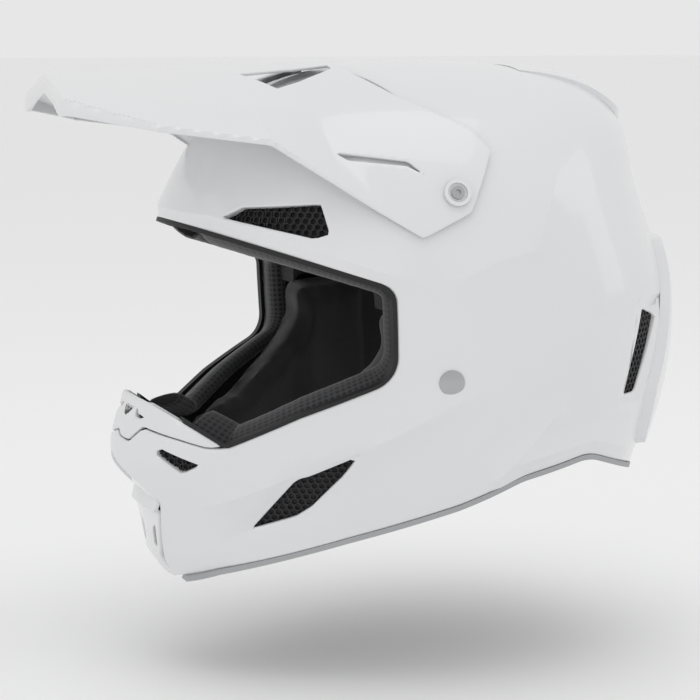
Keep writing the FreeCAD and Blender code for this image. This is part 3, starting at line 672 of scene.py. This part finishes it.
tree, given = geometry_tree("honeycomb", **{"Ring radius": "Float", "Strand width": "Float",
                                             "Strand depth": "Float", "Material": "Material"})
ring_line = add_node(tree, "GeometryNodeCurvePrimitiveCircle",
                     {"Resolution": 6, "Radius": given["Ring radius"]})
strand = add_node(tree, "GeometryNodeCurvePrimitiveQuadrilateral",
                  {"Width": given["Strand width"], "Height": given["Strand depth"]})
ring_mesh = add_node(tree, "GeometryNodeCurveToMesh",
                     {"Curve": ring_line.outputs[0], "Profile Curve": strand.outputs[0]})
facing = add_node(tree, "GeometryNodeInputNamedAttribute", {"Name": "facing"}, data_type="FLOAT_VECTOR")
upright = add_node(tree, "FunctionNodeAlignRotationToVector", {"Vector": facing.outputs[0]}, axis="Z")
levelled = add_node(tree, "FunctionNodeAlignRotationToVector",
                    {"Rotation": upright.outputs[0], "Vector": (0, 0, -1)}, axis="X", pivot_axis="Z")
rings = add_node(tree, "GeometryNodeInstanceOnPoints",
                 {"Points": given["Geometry"], "Instance": ring_mesh.outputs[0],
                  "Rotation": levelled.outputs[0]})
close_tree(tree, rings.outputs[0], given["Material"])
honeycomb = tree


def on_shell(start, way, depth):
    """Point and normal of the shell's skin where a line meets it, a depth below it."""
    hit, normal, _, _ = shell_tree.ray_cast(Vector(start), Vector(way))
    if hit is None:
        return None
    return np.array(hit) - np.array(normal) * depth, np.array(normal)


def lattice(outline, grow=1.2):
    """Points of a honeycomb over an outline: every other row is set over by half a pitch."""
    corners = np.array(outline)
    low, high = corners.min(0) - 3, corners.max(0) + 3
    rows = np.arange(low[1], high[1], MESH_PITCH * math.sqrt(3) / 2)
    points = [(u, v) for n, v in enumerate(rows) for u in np.arange(low[0] + (n % 2) * MESH_PITCH / 2,
                                                                     high[0], MESH_PITCH)]
    points = np.array(points)
    return points[inside(points, outline) > -grow]


for name, outline, depth in (("brow", SIDE_VENTS["brow"], 3.2), ("chin_side", SIDE_VENTS["chin_side"], 3.4),
                             ("rear", SIDE_VENTS["rear"], 4.4), ("chin_small", CHIN_VENT, 3.0),
                             ("top", TOP_VENT, 2.2)):
    for side, sign in (("left", 1), ("right", -1)):
        points, normals = [], []
        for u, v in lattice(outline):
            if name == "chin_small":
                found = on_shell((sign * u, -240, v), (0, 1, 0), depth)
            elif name == "top":
                found = on_shell((sign * u, v, 240), (0, 0, -1), depth)
            else:
                found = on_shell((sign * 240, u, v), (-sign, 0, 0), depth)
            if found:
                points.append(found[0] * 0.001)
                normals.append(found[1])
        radius = MESH_PITCH / math.sqrt(3) * 0.001
        piece = grown(f"{name}_honeycomb_{side}", points, normals, honeycomb,
                      {"Ring radius": radius, "Strand width": 0.0007, "Strand depth": 0.0012,
                       "Material": black_nylon})
        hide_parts(f"{name}_mesh_{side}")
        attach(piece, ROOT)

# ---------------------------------------------------------------- liner cushions
# Foam cut to shape and covered in black velvet-finish polyester: two cheek pads, two
# strap pads, seven crown cushions and a neck roll. Each is crowned by its tight cover.
# Brushed polyester velvet: very dark, dull, with a soft pale bloom at grazing angles.
velvet, tree, bsdf = new_material(
    "brushed_polyester_velvet", "#1B1B1D", 0.95, Sheen_Weight=0.55, Sheen_Roughness=0.45)
place = add_node(tree, "ShaderNodeTexCoord").outputs["Object"]
nap = add_node(tree, "ShaderNodeTexNoise", {"Vector": place, "Scale": 700.0, "Detail": 3.0})
stroke = add_node(tree, "ShaderNodeTexNoise", {"Vector": place, "Scale": 22.0, "Detail": 2.0})
worn = add_ramp(tree, stroke.outputs["Fac"], "#161617", "#242427", 0.35, 0.7)
tree.links.new(worn, bsdf.inputs["Base Color"])
add_bump(tree, bsdf, nap.outputs["Fac"], 0.35, 0.0006)


def evaluated_mesh(piece):
    """The piece's mesh with its modifiers applied, which are then removed."""
    bpy.context.view_layer.update()
    result = bpy.data.meshes.new_from_object(piece.evaluated_get(bpy.context.evaluated_depsgraph_get()))
    piece.modifiers.clear()
    piece.data = result


def vertex_array(mesh, what="co"):
    values = np.zeros(len(mesh.vertices) * 3)
    mesh.vertices.foreach_get(what, values)
    return values.reshape(-1, 3)


def set_vertices(mesh, points):
    mesh.vertices.foreach_set("co", np.ravel(points))
    mesh.update()


def relaxed(mesh, points, rounds):
    """Points drawn towards the mean of their neighbours, a few times."""
    edges = np.zeros(len(mesh.edges) * 2, int)
    mesh.edges.foreach_get("vertices", edges)
    a, b = edges.reshape(-1, 2).T
    count = np.bincount(np.concatenate([a, b]), minlength=len(points))[:, None]
    for _ in range(rounds):
        total = np.zeros_like(points)
        np.add.at(total, a, points[b])
        np.add.at(total, b, points[a])
        points = points * 0.5 + total / np.maximum(count, 1) * 0.5
    return points


def crown_part(middle):
    """Which of the crown's seven cushions a place in metres belongs to, from its left to its right."""
    if middle.z > 0.072:
        return int(middle.x < -0.026) + int(middle.x < 0.026)
    return 3 + int(middle.x < 0) + 2 * int(middle.y > 0.040)


def stuffed(name, node, voxel, shrink, cap, pressure=4.0, part=None):
    """Cushion from a soft CAD solid: remeshed, drawn in, then blown up as cloth under pressure."""
    source = frame["nodes"][node].data
    chosen = [list(face.vertices) for face in source.polygons
              if part is None or crown_part(face.center) == part]
    mesh = bpy.data.meshes.new(name)
    mesh.from_pydata(vertex_array(source).tolist(), [], chosen)
    piece = bpy.data.objects.new(name, mesh)
    scene.collection.objects.link(piece)
    remesh = piece.modifiers.new("even", "REMESH")
    remesh.mode, remesh.voxel_size = "VOXEL", voxel
    evaluated_mesh(piece)
    mesh = piece.data
    points = relaxed(mesh, vertex_array(mesh), 4)
    set_vertices(mesh, points)
    normals = np.zeros(len(mesh.vertices) * 3)
    mesh.vertex_normals.foreach_get("vector", normals)
    start = relaxed(mesh, points - normals.reshape(-1, 3) * shrink, 1)
    set_vertices(mesh, start)
    cloth = piece.modifiers.new("cover", "CLOTH")
    cloth.settings.use_pressure = True
    cloth.settings.uniform_pressure_force = pressure
    cloth.settings.effector_weights.gravity = 0
    for step in range(1, 21):
        scene.frame_set(step)
    evaluated_mesh(piece)
    scene.frame_set(1)
    mesh = piece.data
    move = vertex_array(mesh) - start
    length = np.linalg.norm(move, axis=1, keepdims=True)
    set_vertices(mesh, start + move * np.minimum(1, cap / np.maximum(length, 1e-9)))
    finer = piece.modifiers.new("finer", "SUBSURF")
    finer.levels = finer.render_levels = 1
    evaluated_mesh(piece)
    piece.data.name = name
    piece.data.materials.clear()
    piece.data.materials.append(velvet)
    piece.data.shade_smooth()
    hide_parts(node)
    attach(piece, ROOT)
    return piece


for side in ("left", "right"):
    stuffed(f"cheek_cushion_{side}", f"cheek_pad_{side}", 0.0045, 0.0025, 0.005)
    stuffed(f"strap_cushion_{side}", f"strap_pad_{side}", 0.0025, 0.0005, 0.002)
for part in range(7):
    stuffed(f"crown_cushion_{part + 1}", "crown_pad", 0.004, 0.0015, 0.004, part=part)
stuffed("neck_cushion", "neck_roll", 0.005, 0.0015, 0.005)

# ---------------------------------------------------------------- rim fabric
# A padded roll of black air mesh that closes the liner's edge all round the eye
# port. It runs from behind the rubber bead and slopes in over the cushions.
# Knitted spacer mesh: matt black with small round eyelets, 3.2 mm apart.
air_mesh, tree, bsdf = new_material("knitted_air_mesh_black", "#1E1E20", 0.85, Sheen_Weight=0.3)
flat_place = add_node(tree, "ShaderNodeTexCoord").outputs["UV"]
eyelets = add_node(tree, "ShaderNodeTexVoronoi", {"Vector": flat_place, "Scale": 1 / 3.2, "Randomness": 0.0})
hole = add_ramp(tree, eyelets.outputs["Distance"], "#050506", "#333336", 0.26, 0.42)
tree.links.new(hole, bsdf.inputs["Base Color"])
add_bump(tree, bsdf, hole, 0.9, 0.0012)


def evenly(line, step):
    """Points along a line of chords, a step apart."""
    line = np.array(line, float)
    reach = np.concatenate([[0], np.cumsum(np.linalg.norm(np.diff(line, axis=0), axis=1))])
    at = np.linspace(0, reach[-1], int(reach[-1] / step) + 1)
    return np.column_stack([np.interp(at, reach, line[:, k]) for k in range(line.shape[1])]), at


def tube_mesh(name, sections, lengths, widths, material):
    """Closed skin over cross-sections, one ring of points each, with its UV map in millimetres."""
    sections = np.array(sections)
    count, around = sections.shape[:2]
    faces, places = [], []
    for i in range(count - 1):
        for j in range(around):
            k = (j + 1) % around
            faces.append((i * around + j, i * around + k, (i + 1) * around + k, (i + 1) * around + j))
            places += [(lengths[i], widths[j]), (lengths[i], widths[j + 1]),
                       (lengths[i + 1], widths[j + 1]), (lengths[i + 1], widths[j])]
    faces.append(tuple(reversed(range(around))))
    faces.append(tuple(range((count - 1) * around, count * around)))
    places += [(lengths[0], 0)] * around + [(lengths[-1], 0)] * around
    piece = mesh_object(name, sections.reshape(-1, 3), faces, material, sharp=50)
    layer = piece.data.uv_layers.new(name="laid_flat")
    layer.data.foreach_set("uv", np.ravel(places))
    return piece


def port_line(step=3.0):
    """The eye port's outline from the brow's middle, round the back, to the chin's middle."""
    outline = rounded(EYE_PORT, 9)
    start = int(np.argmax(outline[:, 1]))
    outline = np.roll(outline, -start, 0)
    line, _ = evenly(outline, step)
    line = line[line[:, 0] > np.where(line[:, 1] < 25, -171, -176)]
    way = unit(np.gradient(line, axis=0))
    inward = np.column_stack([way[:, 1], -way[:, 0]])
    middle = np.array([-130, 25])
    if ((middle - line) * inward).sum() < 0:
        inward = -inward
    return line, inward


# Cross-section of the roll: how far into the port's opening, and how deep below the shell.
ROLL = [(0.4, 5.6), (2.2, 8.0), (4.8, 13.0), (6.6, 18.5), (6.4, 23.0), (3.6, 25.5), (-1.0, 24.5),
        (-3.4, 20.0), (-3.4, 12.0), (-2.6, 6.0)]
roll_line, roll_inward = port_line()
for side, sign in (("left", 1), ("right", -1)):
    sections = []
    for (y, z), (dy, dz) in zip(roll_line, roll_inward):
        found = on_shell((sign * 240, y, z), (-sign, 0, 0), 0)
        if found is None:
            continue
        base, normal = found
        sections.append([base - normal * depth + np.array([0, dy, dz]) * reach for reach, depth in ROLL])
    sections = np.array(sections)
    if sign < 0:
        sections = sections[:, ::-1]
    lengths = np.arange(len(sections)) * 3.0
    loop = np.vstack([ROLL, ROLL[:1]])
    widths = np.concatenate([[0], np.cumsum(np.linalg.norm(np.diff(loop, axis=0), axis=1))])
    piece = tube_mesh(f"rim_roll_{side}", sections, lengths, widths, air_mesh)
    finer = piece.modifiers.new("finer", "SUBSURF")
    finer.levels = finer.render_levels = 1
    evaluated_mesh(piece)
    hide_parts(f"rim_fabric_{side}")
    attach(piece, ROOT)

# ---------------------------------------------------------------- chin straps
# Flat woven polyester webbing, riveted inside the shell. The right one is short and
# folds round the two D-rings. The long left one carries the press stud.
# Woven webbing: black, faintly shiny, with a herringbone of about 2 mm ribs.
webbing, tree, bsdf = new_material("woven_webbing_black", "#1A1A1C", 0.7, Sheen_Weight=0.2)
flat_place = add_node(tree, "ShaderNodeTexCoord").outputs["UV"]
weave = add_node(tree, "ShaderNodeTexWave", {"Vector": flat_place, "Scale": 0.32, "Distortion": 0.6,
                                              "Detail": 1.0, "Detail Scale": 2.0}, bands_direction="DIAGONAL")
tree.links.new(add_ramp(tree, weave.outputs["Fac"], "#0E0E0F", "#2B2B2E"), bsdf.inputs["Base Color"])
add_bump(tree, bsdf, weave.outputs["Fac"], 0.7, 0.0004)

STRAP_Y, STRAP_WIDTH, STRAP_THICK = -44, 22, 2.0
STRAP_LINE = [(108.0, 19), (107.2, 0), (102.4, -30), (98.4, -50), (86, -57.5), (62, -60.5)]
RING_X = [(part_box(node)[0].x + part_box(node)[1].x) * 500 for node in ("d_ring_outer", "d_ring_inner")]
RING_BAR_Z = -61.5


def smooth_path(points, count):
    """Even points of a smooth curve through a few points."""
    rows = spline_rows(np.array(points, float), count)
    return evenly(rows, 2.5)


def webbing_strap(name, path, node):
    """Ribbon along an (x, z) path with rounded selvedges."""
    line, lengths = path
    way = unit(np.gradient(line, axis=0))
    up = np.column_stack([-way[:, 1], way[:, 0]])
    half, thick = STRAP_WIDTH / 2, STRAP_THICK / 2
    profile = [(-half, 0.3), (-half + 0.7, 1), (0, 1), (half - 0.7, 1), (half, 0.3), (half, -0.3),
               (half - 0.7, -1), (0, -1), (-half + 0.7, -1), (-half, -0.3)]
    sections = [[(x + u[0] * lift * thick, STRAP_Y + v, z + u[1] * lift * thick) for v, lift in profile]
                for (x, z), u in zip(line, up)]
    loop = np.array(profile + profile[:1]) * [1, thick]
    widths = np.concatenate([[0], np.cumsum(np.linalg.norm(np.diff(loop, axis=0), axis=1))])
    piece = tube_mesh(name, sections, lengths, widths, webbing)
    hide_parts(node)
    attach(piece, ROOT)
    return piece


webbing_strap("long_strap", smooth_path(STRAP_LINE + [(30, -61.5), (4, -62.5)], 12), "chin_strap_left")
short_line, _ = smooth_path(STRAP_LINE + [(44, -61.3)], 12)
short_line = short_line * [-1, 1]
fold_x0, fold_x1 = RING_X[0] - 4.4, RING_X[1] + 4.4
fold = [(fold_x0, RING_BAR_Z + 2.9), (fold_x1 - 2, RING_BAR_Z + 2.9), (fold_x1, RING_BAR_Z),
        (fold_x1 - 2, RING_BAR_Z - 2.9), (fold_x0 + 2, RING_BAR_Z - 2.8), (fold_x0 + 0.6, RING_BAR_Z - 2.6)]
short_path = evenly(np.vstack([short_line[:-2], spline_rows(np.array(fold, float), 6)]), 2.0)
webbing_strap("short_strap", short_path, "chin_strap_right")

# ---------------------------------------------------------------- hardware, rubber and foam
# The moulded and turned parts keep their own shapes: rings, rivets, screws, snaps,
# edge beads and the two foam liners each get their real finish, except the bottom bead, whose pale grey is
# painted shade.
# Drawn and tumbled steel wire: grey and bright, with a fine scatter of roughness.
steel, tree, bsdf = new_material("tumbled_steel", "#B4B6B8", 0.3, Metallic=1.0)
place = add_node(tree, "ShaderNodeTexCoord").outputs["Object"]
scatter = add_node(tree, "ShaderNodeTexNoise", {"Vector": place, "Scale": 500.0, "Detail": 3.0})
add_bump(tree, bsdf, scatter.outputs["Fac"], 0.12, 0.0002)
# Extruded rubber: black and dull, with a slight mottle.
rubber, tree, bsdf = new_material("extruded_rubber_black", "#161617", 0.62)
place = add_node(tree, "ShaderNodeTexCoord").outputs["Object"]
mottle = add_node(tree, "ShaderNodeTexNoise", {"Vector": place, "Scale": 900.0, "Detail": 2.0})
add_bump(tree, bsdf, mottle.outputs["Fac"], 0.2, 0.0002)
# The bottom bead is the same rubber in pale grey. The grey is painted shade that stands for the shaded
# underside of the white shell along the rim, so the bead hardly shows under the shell.
rim_shade_grey_rubber = rubber.copy()
rim_shade_grey_rubber.name = "extruded_rubber_painted_shade_grey"
rim_shade_grey_rubber.node_tree.nodes["Principled BSDF"].inputs["Base Color"].default_value = srgb("#A6A8AA")
# Moulded expanded polystyrene: charcoal, dull, with the outlines of its 3.5 mm beads.
foam, tree, bsdf = new_material("expanded_polystyrene_charcoal", "#222224", 0.8)
place = add_node(tree, "ShaderNodeTexCoord").outputs["Object"]
beads = add_node(tree, "ShaderNodeTexVoronoi", {"Vector": place, "Scale": 290.0}, feature="DISTANCE_TO_EDGE")
outlines = add_ramp(tree, beads.outputs["Distance"], "#0E0E0F", "#29292C", 0.0, 0.12)
tree.links.new(outlines, bsdf.inputs["Base Color"])
add_bump(tree, bsdf, outlines, 0.4, 0.0004)

# The bottom bead gets the pale grey rubber, whose grey is painted shade of the shell's underside.
FINISHES = {"eyeport_trim": rubber, "bottom_trim": rim_shade_grey_rubber, "eps_crown": foam, "eps_chin": foam,
            "rear_spoiler": white_lacquer,
            "rear_vent_cover": white_lacquer, "strap_snap": steel, "cheek_snaps": black_nylon,
            "d_ring_outer": steel, "d_ring_inner": steel}
for side in ("left", "right"):
    FINISHES.update({f"cheek_base_{side}": foam, f"strap_anchor_{side}": steel, f"strap_rivet_{side}": steel,
                     f"peak_insert_{side}": steel, f"peak_washer_{side}": white_lacquer,
                     f"peak_screw_{side}": steel})
for node, finish in FINISHES.items():
    slots = frame["nodes"][node].material_slots
    for slot in slots:
        slot.material = finish
